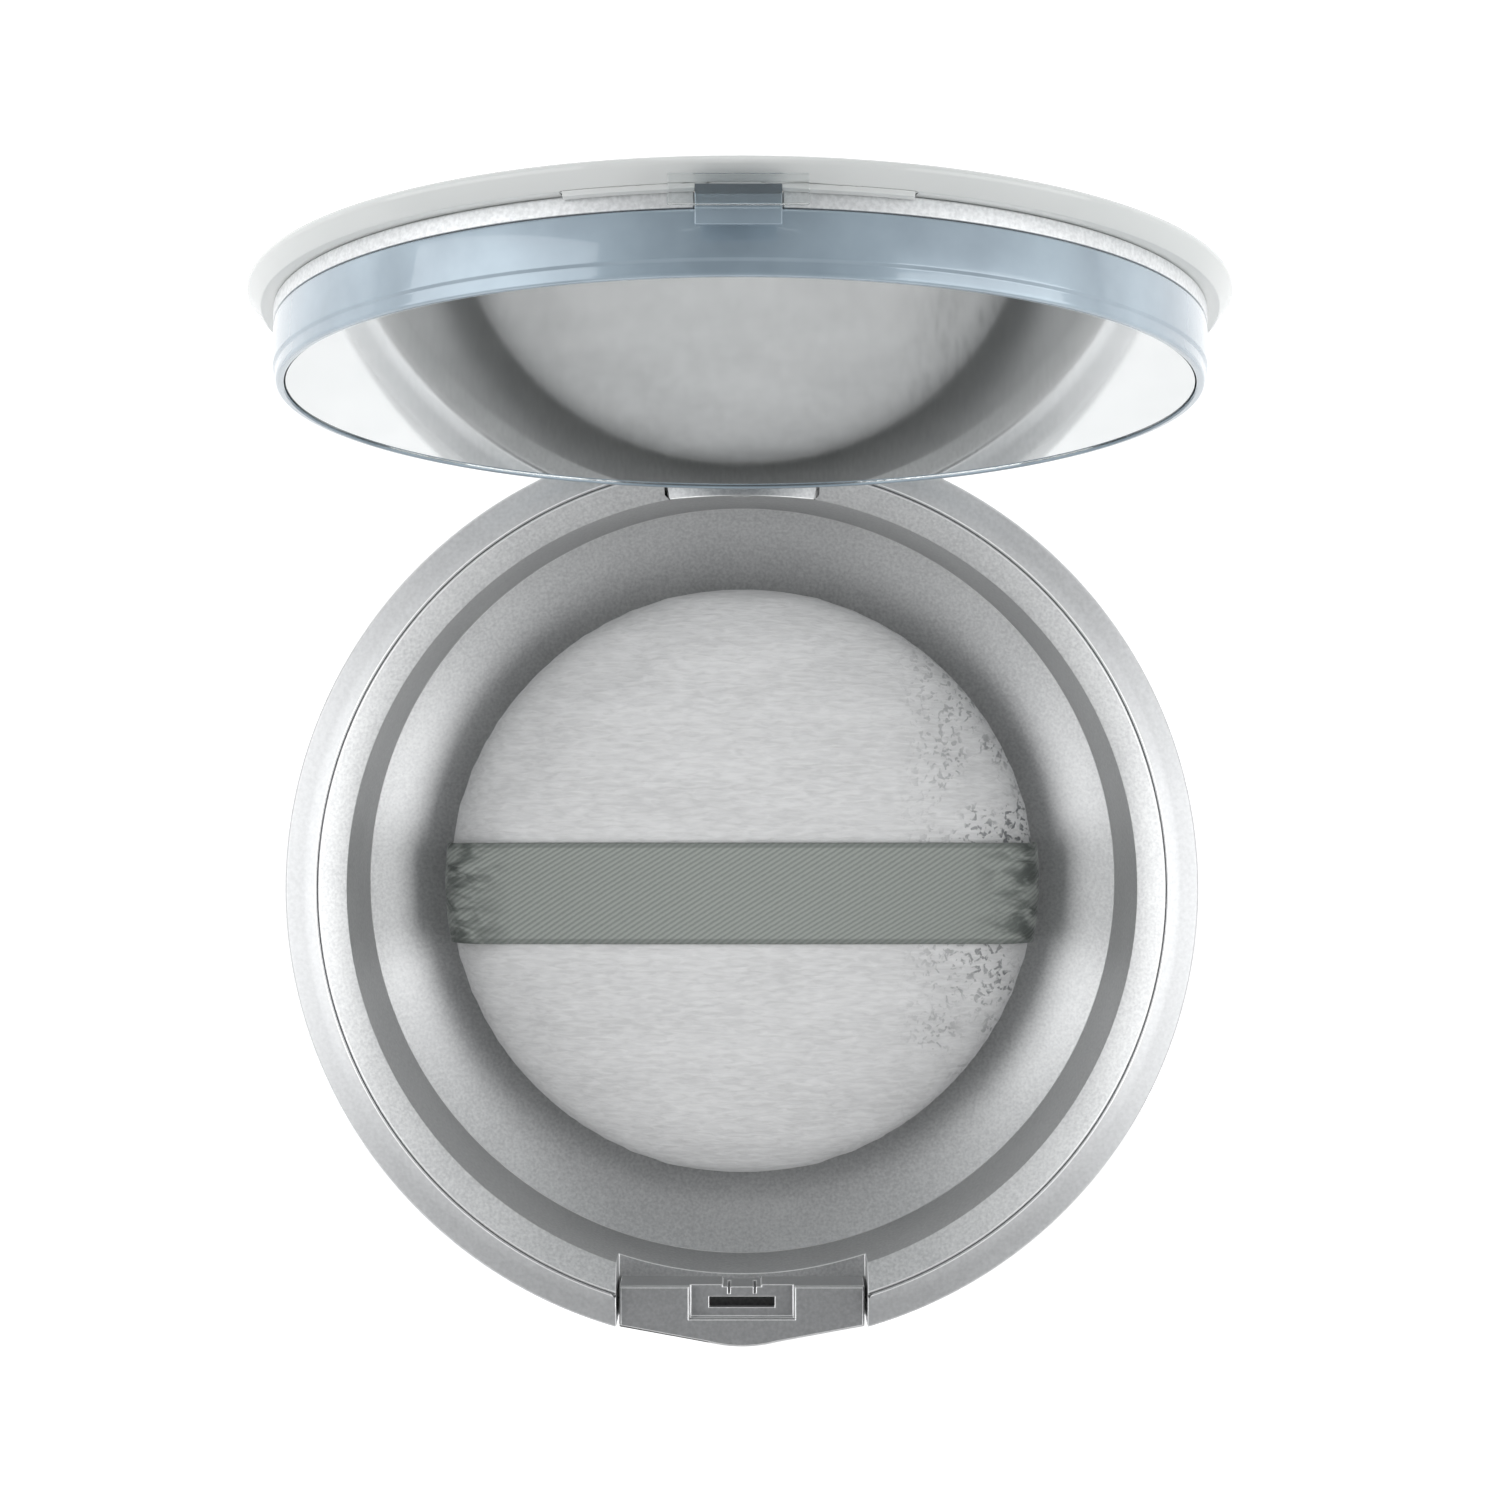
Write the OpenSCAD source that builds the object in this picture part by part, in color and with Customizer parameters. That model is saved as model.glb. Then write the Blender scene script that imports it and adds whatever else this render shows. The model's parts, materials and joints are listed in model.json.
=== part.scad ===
// Round double-decker powder compact: a deep base with a puff, a hinged tray with a mirror
// under it and pressed powder on it, and a clear lid over the powder.
// Origin: centre of the base's foot, on the table. +Z up, +Y towards the hinge, front at -Y.
// The tray and its lid are drawn closed, and then turned together to the open stop.

/* [Base] */
// Largest diameter of the base
base_d = 80; // [79.5:0.1:80.5]
// Height of the base, from the table to the ridge of its rim
base_h = 22.5; // [22.3:0.1:25]
// Wall thickness of the outer shell
shell_t = 1.4; // [1.2:0.1:1.6]
// Wall thickness of the bowl liner
liner_t = 1.2; // [1:0.1:1.3]
// Diameter of the ridge where the shell meets the liner
ridge_d = 74; // [73.8:0.1:74.2]
// Diameter of the well at its mouth
well_d = 69.4; // [69.3:0.1:69.6]
// Depth of the well's upright wall below the ridge
well_wall_depth = 15.5; // [15:0.1:15.8]
// Depth of the dished floor below the ridge
well_floor_depth = 19; // [18.6:0.1:19.2]

/* [Hinge] */
// Distance from the centre to the hinge axis
hinge_y = 37.6; // [37.5:0.05:37.7]
// How far the hinge axis lies below the ridge
hinge_drop = 1.5; // [1.4:0.05:1.6]
// Diameter of the hinge pin
pin_d = 1; // [0.9:0.05:1.1]
// Width of the notch in the base's rim
notch_w = 13.4; // [13.2:0.1:13.8]
// Angle of the tray at its open stop
open_angle = 95.9; // [88:0.1:95.9]

/* [Release button] */
// Width of the gap in the rim
gap_w = 22; // [21.8:0.1:22.4]
// Width of the button
button_w = 21.5; // [21.3:0.1:21.6]
// Depth of the latch shelf below the ridge
shelf_depth = 6; // [5.8:0.1:6.2]
// How far the button's top lies below the ridge
button_drop = 1.1; // [1:0.05:1.2]
// Travel of the button when pressed
button_travel = 0.4; // [0.3:0.05:0.4]
// Width of the catch slot
slot_w = 5.75; // [5.7:0.05:6]

/* [Tray] */
// Diameter of the tray ring
tray_d = 68.6; // [68.2:0.1:68.6]
// Diameter of the mirror
mirror_d = 66.7; // [66:0.1:66.8]
// Thickness of the mirror
mirror_t = 1.1; // [1:0.05:1.15]
// Outside diameter of the powder pan
pan_d = 62.6; // [61:0.1:62.8]

/* [Top lid] */
// Diameter of the clear lid
lid_d = 72.4; // [72.2:0.1:72.6]
// Rise of the lid's dome over its rim
dome_rise = 2.7; // [2.5:0.1:3.5]
// Thickness of the clear lid
lid_t = 1.3; // [1.1:0.1:1.3]
// Width of the clear thumb tab
tab_w = 8.75; // [8.5:0.05:8.8]

/* [Puff] */
// Diameter of the puff
puff_d = 54.3; // [50:0.1:54.6]
// Thickness of the puff
puff_t = 7; // [6.5:0.1:7.2]
// Width of the finger ribbon
ribbon_w = 9.3; // [8:0.1:10]

/* [Hidden] */
$fn = 96;

silver = "Silver";
blue = "LightSteelBlue";
eps = 0.01;
over = 60;                       // long enough for a cut to pass right through
fit_gap = 0.05;                  // gap between pieces that are pressed or bonded together

base_r = base_d / 2;
ridge_r = ridge_d / 2;
well_r = well_d / 2;
well_foot_r = well_r - 0.17;     // the well wall's draft
flare_drop = 0.95;               // the flare's outer edge below the ridge
mouth_drop = 1.7;                // the well's mouth below the ridge
nose_r = 0.35;                   // rounding of the flare's outer edge
bulge_r = 46.9;                  // radius of the shell's bulging side
bulge_drop = 3;                  // the side is widest this far below the ridge
foot_r = 35;                     // outer radius of the foot ring
foot_t = 2;                      // width of the foot ring
foot_rise = 0.4;                 // the underside's recess inside the foot ring
dish_flat_r = 25;                // flat part of the dished floor
hinge_z = base_h - hinge_drop;
pin_r = pin_d / 2;
pin_length = 18.4;
knuckle_r = 1.3;
bore_play = 0.05;                // radial play of the knuckles on the pin
lug_w = 3.2;                     // width of the base's hinge lugs beside the notch
notch_depth = 6.2;               // the notch's floor below the ridge
scoop_r = 9.9;                   // the scoop in the well's wall before the notch
scoop_depth = 4;
tray_knuckle = [3, 6.2];         // the tray's two knuckles, from the middle outwards
leaf_w = 5.4;                    // width of the lid's hinge leaf
catch_w = 5.4;                   // width of the tray's catch
catch_y = 36.36;                 // front face of the catch's leg

// heights of the tray's and lid's parts over the hinge axis
lip_bottom = -3.36;              // the blue lip round the mirror
groove_at = -2.42;               // where the lip steps in from the ring
web_bottom = -2.03;
web_top = -1.23;
tray_top = 0.91;
collar_top = 2.14;
catch_top = 1.75;
lid_lip = 2.2;
lid_edge = 3.2;

tray_r = tray_d / 2;
lip_r = tray_r - 0.2;
mirror_r = mirror_d / 2;
pan_r = pan_d / 2;
lid_r = lid_d / 2;
rim_r = lid_r - 2.8;             // inner edge of the lid's rim
tab_y = 37.05;                   // front face of the thumb tab
tab_t = 0.45;
dome_edge_r = lid_r - 0.3;
dome_edge = lid_edge + 0.55;
dome_top = dome_edge + dome_rise;
dome_r = (pow(dome_edge_r, 2) + pow(dome_rise, 2)) / (2 * dome_rise);

button_top = base_h - button_drop;
button_back = 34.85;             // the button's back wall, in front of the centre
button_side_y = 38.4;            // its front corners
button_kink = [2.8, 39.85];      // where its front edge turns into the rounded nose
plate_t = 1.8;
recess_w = 9.05;
recess_front = 37.63;
recess_t = 0.85;
slot_back = 35.95;
slot_l = 0.9;
post_x = 7.5;                    // the posts and springs stand this far to each side
post_back = 35.75;
post_t = 0.5;
spring_r = 0.9;
spring_wire = 0.3;
spring_l = 1.1;

puff_z = base_h - well_floor_depth + 0.1;
puff_r = puff_d / 2;
ribbon_t = 0.35;
ribbon_y = -1;

// ---- outlines, radius across and height up, measured from the ridge ----

// The shell's outside: a flare, a rounded edge, a bulging side and a foot.
module shell_outside() {
    intersection() {
        translate([base_r - bulge_r, -bulge_drop]) circle(bulge_r, $fn = 240);
        polygon([
            [0, 0], [ridge_r + 0.05, 0], [base_r - nose_r, -flare_drop + 0.12],
            [base_r + 1, -flare_drop - 0.9], [base_r + 1, -base_h + 3], [foot_r + 1.1, -base_h + 1.1],
            [foot_r, -base_h], [0, -base_h]
        ]);
    }
    translate([base_r - nose_r - 0.02, -flare_drop - nose_r + 0.13]) circle(nose_r);
}

// The hollow inside the shell.
module shell_inside() {
    floor_z = -well_floor_depth - liner_t - fit_gap;
    intersection() {
        translate([base_r - bulge_r, -bulge_drop]) circle(bulge_r - shell_t, $fn = 240);
        polygon([
            [0, 1], [ridge_r + 0.05, 1], [ridge_r + 0.05, -shell_t], [base_r - shell_t, -shell_t - 0.75],
            [base_r, -base_h + 4], [foot_r - 0.6, floor_z], [0, floor_z]
        ]);
    }
}

// The space of the well: a conical seat, an upright wall and a dished floor.
module well_space() {
    sweep_r = dish_sweep_r();
    polygon([
        [0, 1], [ridge_r - 0.05, 1], [ridge_r - 0.05, 0], [well_r + 0.08, -mouth_drop + 0.06],
        [well_r, -mouth_drop - 0.08], [well_foot_r, -well_wall_depth], [0, -well_wall_depth]
    ]);
    intersection() {
        translate([dish_flat_r, sweep_r - well_floor_depth]) circle(sweep_r, $fn = 180);
        translate([dish_flat_r - eps, -over]) square([well_foot_r - dish_flat_r + eps, over - 10]);
    }
    translate([0, -well_floor_depth]) square([dish_flat_r, well_floor_depth - 10]);
}

// Radius of the arc that joins the flat floor to the foot of the well's wall.
function dish_sweep_r() =
    let (run = well_foot_r - dish_flat_r, rise = well_floor_depth - well_wall_depth)
    (run * run + rise * rise) / (2 * rise);

// The liner's outside, one wall thickness round the well.
module liner_outside(grow = 0) {
    sweep_r = dish_sweep_r() + liner_t + grow;
    side_r = well_foot_r + liner_t + grow;
    polygon([
        [0, 0], [ridge_r - 0.05 + grow, 0], [ridge_r - 0.05 + grow, -0.9], [well_r + liner_t + grow, -2.6],
        [side_r, -well_wall_depth], [0, -well_wall_depth]
    ]);
    intersection() {
        translate([dish_flat_r, dish_sweep_r() - well_floor_depth]) circle(sweep_r, $fn = 180);
        translate([dish_flat_r - eps, -over]) square([side_r - dish_flat_r + eps, over - 10]);
    }
    translate([0, -well_floor_depth - liner_t - grow]) square([dish_flat_r, 10]);
}

module turned() {
    translate([0, 0, base_h]) rotate_extrude($fn = 180) children();
}

// A block reaching forwards or backwards from the centre, given by its half-width and heights.
module front_block(half_w, low, high) {
    translate([-half_w, -over, low]) cube([2 * half_w, over - 20, high - low]);
}
module back_block(half_w, low, high) {
    mirror([0, 1, 0]) front_block(half_w, low, high);
}

// A bar along X on the hinge axis.
module axis_bar(r, x0, x1) {
    translate([x0, hinge_y, hinge_z]) rotate([0, 90, 0]) cylinder(r = r, h = x1 - x0, $fn = 64);
}

// ---- base ----

module base_shell() color(silver) {
    difference() {
        union() {
            turned() difference() {
                shell_outside();
                shell_inside();
                translate([-1, -base_h - 1]) square([foot_r - foot_t + 1, 1 + foot_rise]);
            }
            // solid lugs and floor round the hinge notch
            intersection() {
                turned() difference() {
                    shell_outside();
                    liner_outside(fit_gap);
                }
                back_block(notch_w / 2 + lug_w, base_h - notch_depth - 1.2, base_h + 1);
            }
        }
        back_block(notch_w / 2, base_h - notch_depth, base_h + 1);
        front_block(gap_w / 2, base_h - shelf_depth, base_h + 1);
        axis_bar(pin_r, -pin_length / 2, pin_length / 2);
    }
}

module bowl_liner() color("Gainsboro") {
    difference() {
        union() {
            turned() difference() {
                liner_outside();
                well_space();
            }
            // pocket that carries the release button, between the well and the shell
            intersection() {
                turned() difference() {
                    shell_inside();
                    well_space();
                }
                front_block(gap_w / 2 + 1.2, base_h - shelf_depth - 1.2, base_h - 0.4);
                translate([0, 0, base_h - 10]) cylinder(r = base_r - shell_t - 2 * fit_gap, h = 20);
            }
        }
        front_block(gap_w / 2, base_h - shelf_depth, base_h + 1);
        // notch for the hinge, with a scooped front edge
        intersection() {
            back_block(notch_w / 2, base_h - notch_depth, base_h + 1);
            translate([0, 20, base_h - scoop_depth + scoop_r]) rotate([-90, 0, 0])
                cylinder(r = scoop_r, h = 30);
        }
    }
    // posts that stop the button and carry its springs
    for (side = [-1, 1])
        translate([side * post_x - 1.5, -post_back - post_t, base_h - shelf_depth - 0.1])
            cube([3, post_t, 2.6]);
}

// Blank round label in the recess of the underside.
module base_label() color("WhiteSmoke") {
    translate([0, 0, foot_rise - 0.12]) cylinder(r = 30, h = 0.12);
}

module hinge_pin() color("DimGray") {
    axis_bar(pin_r, -pin_length / 2, pin_length / 2);
}

// Outline of the button from above, with a shallow V front and a rounded nose.
module button_outline(inset = 0) {
    half = button_w / 2 - inset;
    polygon([
        [-half, -button_back - inset], [half, -button_back - inset],
        [half, -button_side_y + inset], [button_kink[0], -button_kink[1] + inset],
        [-button_kink[0], -button_kink[1] + inset], [-half, -button_side_y + inset]
    ]);
    intersection() {
        translate([0, -button_kink[1] + 11.6 + inset]) circle(11.95, $fn = 120);
        translate([-button_kink[0] - 0.1, -over]) square([2 * button_kink[0] + 0.2, over - button_kink[1] + 0.4]);
    }
}

module release_button() color(silver) {
    bottom = base_h - shelf_depth + 0.15;
    floor_z = button_top - recess_t;
    difference() {
        union() {
            translate([0, 0, bottom]) linear_extrude(button_top - bottom - 0.15) button_outline();
            translate([0, 0, button_top - 0.15 - eps]) linear_extrude(0.15 + eps) button_outline(0.12);
            // thumb lip low on the nose
            intersection() {
                translate([0, -36.8, bottom + 0.6]) cylinder(r1 = 4, r2 = 3.8, h = 1.6);
                translate([-5, -45, 0]) cube([10, 6.5, over]);
            }
        }
        // hollow underneath
        translate([0, 0, bottom - 1]) linear_extrude(button_top - plate_t - bottom + 1)
            button_outline(0.85);
        // shallow recess that the thumb tab lies in, open to the back
        translate([-recess_w / 2, -recess_front, floor_z])
            cube([recess_w, recess_front - button_back + 1, recess_t + 1]);
        translate([-recess_w / 2 - 0.15, -recess_front - 0.15, button_top - 0.15])
            cube([recess_w + 0.3, recess_front - button_back + 1.2, 1]);
        // catch slot
        translate([-slot_w / 2, -slot_back - slot_l, bottom - 1]) cube([slot_w, slot_l, 10]);
        // slits beside the flexing tongue in the back edge
        for (side = [-1, 1])
            translate([side * 1.13 - 0.1, -button_back - 0.8, floor_z - 3]) cube([0.2, 1.8, 10]);
        // cut-back behind the tongue
        translate([-1.7, -button_back - 0.2, bottom - 1]) cube([3.4, 1, 10]);
    }
}

// A short coil spring between a post and the button's front wall, as its outer sleeve.
module button_spring(side) {
    translate([side * post_x, -post_back - post_t - fit_gap, base_h - shelf_depth + 1.5])
        rotate([90, 0, 0]) difference() {
            cylinder(r = spring_r, h = spring_l, $fn = 40);
            translate([0, 0, -1]) cylinder(r = spring_r - spring_wire, h = spring_l + 2, $fn = 40);
        }
}
module spring_left() color("LightGray") {
    button_spring(-1);
}
module spring_right() color("LightGray") {
    button_spring(1);
}

// ---- puff ----

// A round pad with rounded edges, as a turned outline between two heights.
module pad(low, high, r, round_r) {
    translate([0, 0, puff_z]) rotate_extrude($fn = 120) {
        translate([0, low]) square([r - round_r, high - low]);
        translate([0, low + round_r]) square([r, high - low - 2 * round_r]);
        for (z = [low + round_r, high - round_r])
            translate([r - round_r, z]) circle(round_r, $fn = 40);
    }
}

module puff_powder_face() color("White") {
    pad(0, 1.5, puff_r - 0.2, 0.7);
}
module puff_core() color("Ivory") {
    pad(1.5, puff_t - 1.9, puff_r - 0.5, 0.8);
}
module puff_grip_face() color("Gainsboro") {
    pad(puff_t - 1.9, puff_t - 0.4, puff_r, 0.7);
}

// Satin ribbon across the puff, let into the seam at both sides.
module puff_ribbon() color("DarkSeaGreen") {
    intersection() {
        translate([-puff_r, ribbon_y - ribbon_w / 2, puff_z + puff_t - 0.4])
            cube([puff_d, ribbon_w, ribbon_t]);
        translate([0, 0, puff_z]) cylinder(r = puff_r - 0.75, h = puff_t + 2, $fn = 120);
    }
}

// ---- tray and lid, drawn closed ----

// Turns a closed piece about the hinge to the open stop.
module opened() {
    translate([0, hinge_y, hinge_z]) rotate([-open_angle, 0, 0]) translate([0, -hinge_y, -hinge_z])
        children();
}

// Turns an outline round the compact's axis; its heights are over the hinge axis.
module lid_turned() {
    translate([0, 0, hinge_z]) rotate_extrude($fn = 180) children();
}

// A plain disc or ring, with heights over the hinge axis.
module ring(outer, inner, low, high) {
    lid_turned() translate([inner, low]) square([outer - inner, high - low]);
}

module tray_ring() color(blue) opened() {
    difference() {
        union() {
            // side wall with a softened top edge, a groove and a thin lip round the mirror
            lid_turned() {
                polygon([
                    [mirror_r + 0.1, lip_bottom + 0.1], [mirror_r + 0.2, lip_bottom],
                    [lip_r - 0.2, lip_bottom], [lip_r, lip_bottom + 0.2], [lip_r, groove_at - 0.05],
                    [tray_r, groove_at + 0.15], [tray_r, tray_top - 0.2], [tray_r - 0.2, tray_top],
                    [tray_r - 1.3, tray_top], [tray_r - 1.3, web_top], [mirror_r + 0.1, web_bottom]
                ]);
                translate([0, web_bottom]) square([tray_r - 1, web_top - web_bottom]);
                translate([pan_r + 0.1, web_top - eps]) square([0.6, 0.7]);
            }
            // hinge arms
            for (side = [-1, 1]) {
                x0 = side > 0 ? tray_knuckle[0] : -tray_knuckle[1];
                wide = tray_knuckle[1] - tray_knuckle[0];
                axis_bar(knuckle_r, x0, x0 + wide);
                translate([x0, tray_r - 0.8, hinge_z - 0.1])
                    cube([wide, hinge_y - tray_r + 0.8, 0.9]);
            }
            // catch on the front edge, with a leg that enters the button's slot
            translate([-catch_w / 2, -catch_y, hinge_z + 1.1]) cube([catch_w, catch_y - tray_r + 0.9, catch_top - 1.1]);
            translate([-catch_w / 2, -catch_y, hinge_z - 0.75]) cube([catch_w, 0.34, catch_top + 0.75]);
            translate([-catch_w / 2, -tray_r + 0.05, hinge_z + 0.2]) cube([catch_w, 0.9, catch_top - 0.2]);
        }
        axis_bar(pin_r + bore_play, -over, over);
    }
}

module tray_mirror() color("White") opened() {
    ring(mirror_r, 0, web_bottom - 0.15 - mirror_t, web_bottom - 0.15);
}

module mirror_tape() color("DimGray") opened() {
    ring(mirror_r - 2.5, 0, web_bottom - 0.15, web_bottom);
}

module pan_adhesive() color("Khaki") opened() {
    ring(pan_r - 8, 0, web_top, web_top + 0.1);
}

module powder_pan() color("LightGray") opened() {
    lid_turned() difference() {
        translate([0, web_top + 0.1]) square([pan_r, 1.95]);
        translate([-1, web_top + 0.5]) square([pan_r - 0.4 + 1, 3]);
    }
}

// Pressed powder, slightly crowned.
module pressed_powder() color("BurlyWood") opened() {
    powder_r = pan_r - 0.45;
    low = web_top + 0.5;
    lid_turned() polygon([
        [0, low], [powder_r, low], [powder_r, low + 1.5], [powder_r - 0.6, low + 1.63],
        [powder_r * 0.66, low + 1.95], [0, low + 2.05]
    ]);
}

// Silver collar that frames the powder and closes the tray's top edge.
module tray_collar() color("WhiteSmoke") opened() {
    difference() {
        lid_turned() polygon([
            [pan_r - 0.9, tray_top + 0.05], [tray_r, tray_top + 0.05], [tray_r, collar_top - 0.12],
            [tray_r - 0.12, collar_top], [pan_r + 0.3, collar_top], [pan_r - 0.9, collar_top - 0.7]
        ]);
        translate([-catch_w / 2 - 0.1, -over, hinge_z]) cube([catch_w + 0.2, over - tray_r + 1, 4]);
    }
    ring(tray_r - 1.35, tray_r - 1.9, tray_top - 1.2, tray_top + 0.1);
}

// Clear lid: a shallow dome with a conical rim, a thumb tab in front and a hinge leaf behind.
module lid_window() color("AliceBlue", 0.5) opened() {
    difference() {
        union() {
            lid_turned() difference() {
                union() {
                    intersection() {
                        translate([0, dome_top - dome_r]) circle(dome_r, $fn = 720);
                        translate([0, lid_lip]) square([dome_edge_r, 20]);
                    }
                    polygon([
                        [rim_r - 1, lid_lip], [lid_r - 1, lid_lip], [lid_r - 0.05, lid_edge - 0.1],
                        [lid_r - 0.1, lid_edge + 0.35], [dome_edge_r, dome_edge], [rim_r - 1, dome_edge]
                    ]);
                    translate([lid_r - 0.35, lid_edge + 0.15]) circle(0.35, $fn = 40);
                }
                intersection() {
                    translate([0, dome_top - dome_r]) circle(dome_r - lid_t, $fn = 720);
                    square([rim_r, 20]);
                }
                square([rim_r, lid_lip + 0.4]);
            }
            // deeper lip over the button
            intersection() {
                ring(lid_r - 1, lid_r - 1.8, lid_lip - 0.33, lid_lip + 0.1);
                front_block(11.05, 0, base_h + 10);
            }
            // thumb tab in front of the catch
            translate([-tab_w / 2, -tab_y, hinge_z + 2.05]) cube([tab_w, tab_y - lid_r + 0.9, 0.8]);
            translate([-tab_w / 2, -tab_y, hinge_z - 0.1]) cube([tab_w, tab_t, 2.95]);
            translate([-tab_w / 2 + 0.4, -tab_y, hinge_z - 0.25]) cube([tab_w - 0.8, tab_t, 0.3]);
            // hinge leaf
            translate([-leaf_w / 2, lid_r - 1.6, hinge_z + lid_lip]) cube([leaf_w, 2.9, 0.8]);
            translate([-leaf_w / 2, hinge_y - 1.1, hinge_z]) cube([leaf_w, 1, lid_lip + 0.8]);
            axis_bar(knuckle_r, -leaf_w / 2, leaf_w / 2);
        }
        axis_bar(pin_r + bore_play, -over, over);
    }
}

base_shell();
bowl_liner();
base_label();
hinge_pin();
release_button();
spring_left();
spring_right();
puff_grip_face();
puff_core();
puff_powder_face();
puff_ribbon();
tray_ring();
tray_mirror();
mirror_tape();
pan_adhesive();
powder_pan();
pressed_powder();
tray_collar();
lid_window();
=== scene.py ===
"""Round two-level powder compact, standing open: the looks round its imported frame.

Lengths are in millimetres up to the moment a mesh is made, and +Y points to the hinge.
"""

import json
import math

import bmesh
import bpy
import numpy as np
from mathutils import Matrix, Vector


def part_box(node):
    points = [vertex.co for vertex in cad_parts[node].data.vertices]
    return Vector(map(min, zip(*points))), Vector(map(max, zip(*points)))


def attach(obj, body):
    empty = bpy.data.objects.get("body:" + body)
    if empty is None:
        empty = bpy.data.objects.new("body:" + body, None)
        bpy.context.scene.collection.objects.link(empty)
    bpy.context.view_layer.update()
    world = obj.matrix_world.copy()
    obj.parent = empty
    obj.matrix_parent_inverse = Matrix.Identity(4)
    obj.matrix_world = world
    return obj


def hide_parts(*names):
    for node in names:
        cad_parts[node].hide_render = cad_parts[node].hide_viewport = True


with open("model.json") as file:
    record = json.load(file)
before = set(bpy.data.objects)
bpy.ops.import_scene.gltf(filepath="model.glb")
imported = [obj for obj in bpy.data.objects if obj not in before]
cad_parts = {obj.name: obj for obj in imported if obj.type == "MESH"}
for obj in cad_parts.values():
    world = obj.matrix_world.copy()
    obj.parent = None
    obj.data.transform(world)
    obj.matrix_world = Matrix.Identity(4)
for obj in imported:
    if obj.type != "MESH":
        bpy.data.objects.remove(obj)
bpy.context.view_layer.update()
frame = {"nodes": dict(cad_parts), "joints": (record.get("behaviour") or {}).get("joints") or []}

MM = 0.001
JOINTS = {j["name"]: j for j in frame["joints"]}

# ---- sizes, read from the frame ----
BASE_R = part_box("base_shell")[1].x / MM
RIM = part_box("base_shell")[1].z / MM  # height of the ridge round the rim
HINGE_Y, HINGE_Z = (v / MM for v in JOINTS["tray_hinge"]["pos_m"][1:])
OPEN_ANGLE = math.radians(JOINTS["tray_hinge"]["range_deg"][1])
PUFF_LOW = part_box("puff_powder_face")[0].z / MM
PUFF_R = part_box("puff_grip_face")[1].x / MM
PUFF_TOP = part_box("puff_grip_face")[1].z / MM
TRAY_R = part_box("tray_ring")[1].x / MM
MIRROR_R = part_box("tray_mirror")[1].x / MM
PAN_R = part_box("powder_pan")[1].x / MM
LID_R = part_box("lid_window")[1].x / MM
RIBBON_LOW, RIBBON_HIGH = (c.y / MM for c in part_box("puff_ribbon"))


# ---- meshes ----

def arc(centre, radius, start, end, steps=10):
    """Points on a circle about centre, from start to end in degrees."""
    t = np.radians(np.linspace(start, end, steps + 1))
    return np.stack([centre[0] + radius * np.cos(t), centre[1] + radius * np.sin(t)], 1)


def rounded(corners, steps=5):
    """A closed outline of (across, up, radius) corners, each eased by a quadratic curve between
    the points that lie one radius before and after it."""
    pts = np.array(corners, float)
    made = []
    for i, (x, z, r) in enumerate(pts):
        here = np.array([x, z])
        if r <= 0:
            made.append(here[None])
            continue
        ends = []
        for other in (pts[i - 1, :2], pts[(i + 1) % len(pts), :2]):
            way = other - here
            length = np.linalg.norm(way)
            ends.append(here + way / length * min(r, 0.49 * length))
        t = np.linspace(0, 1, steps + 1)[:, None]
        made.append((1 - t) ** 2 * ends[0] + 2 * t * (1 - t) * here + t**2 * ends[1])
    return np.concatenate(made)


def turned(outline, steps=360, lift=0.0):
    """Turns an outline of (radius, height) round Z: point (i, j) is outline[j] turned by i / steps of a
    full turn. An outline that starts and ends on the axis gets a fan at each pole; any other is a
    closed loop."""
    outline = np.array(outline, float)
    on_axis = outline[0, 0] < 1e-6 and outline[-1, 0] < 1e-6
    body = outline[1:-1] if on_axis else outline
    angle = np.linspace(0, 2 * np.pi, steps, endpoint=False)[:, None]
    ring = np.stack([body[:, 0] * np.cos(angle), body[:, 0] * np.sin(angle),
                     np.broadcast_to(body[:, 1] + lift, (steps, len(body)))], -1)
    i, j = np.meshgrid(np.arange(steps), np.arange(len(body) - on_axis), indexing="ij")
    n, i2, j2 = len(body), (i + 1) % steps, (j + 1) % len(body)
    faces = np.stack([i * n + j, i2 * n + j, i2 * n + j2, i * n + j2], -1).reshape(-1, 4).tolist()
    points = ring.reshape(-1, 3)
    if on_axis:
        points = np.concatenate([points, [[0, 0, outline[0, 1] + lift], [0, 0, outline[-1, 1] + lift]]])
        k = np.arange(steps)
        k2 = (k + 1) % steps
        faces += np.stack([k2 * n, k * n, np.full(steps, steps * n)], -1).tolist()
        faces += np.stack([k * n + n - 1, k2 * n + n - 1, np.full(steps, steps * n + 1)], -1).tolist()
    return points, faces


def block(low, high):
    """A box between two corners."""
    low, high = np.array(low, float), np.array(high, float)
    corner = np.array([[x, y, z] for x in (0, 1) for y in (0, 1) for z in (0, 1)])
    faces = [[0, 1, 3, 2], [4, 6, 7, 5], [0, 4, 5, 1], [2, 3, 7, 6], [0, 2, 6, 4], [1, 5, 7, 3]]
    return low + corner * (high - low), faces


def rod(radius, start, end, steps=64):
    """A round bar from start to end: a turned rectangle laid along the line between them."""
    start, end = Vector(start), Vector(end)
    outline = [(0, 0), (radius, 0), (radius, (end - start).length), (0, (end - start).length)]
    points, faces = turned(outline, steps)
    turn = np.array((end - start).to_track_quat("Z", "Y").to_matrix())
    return points @ turn.T + np.array(start), faces


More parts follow.
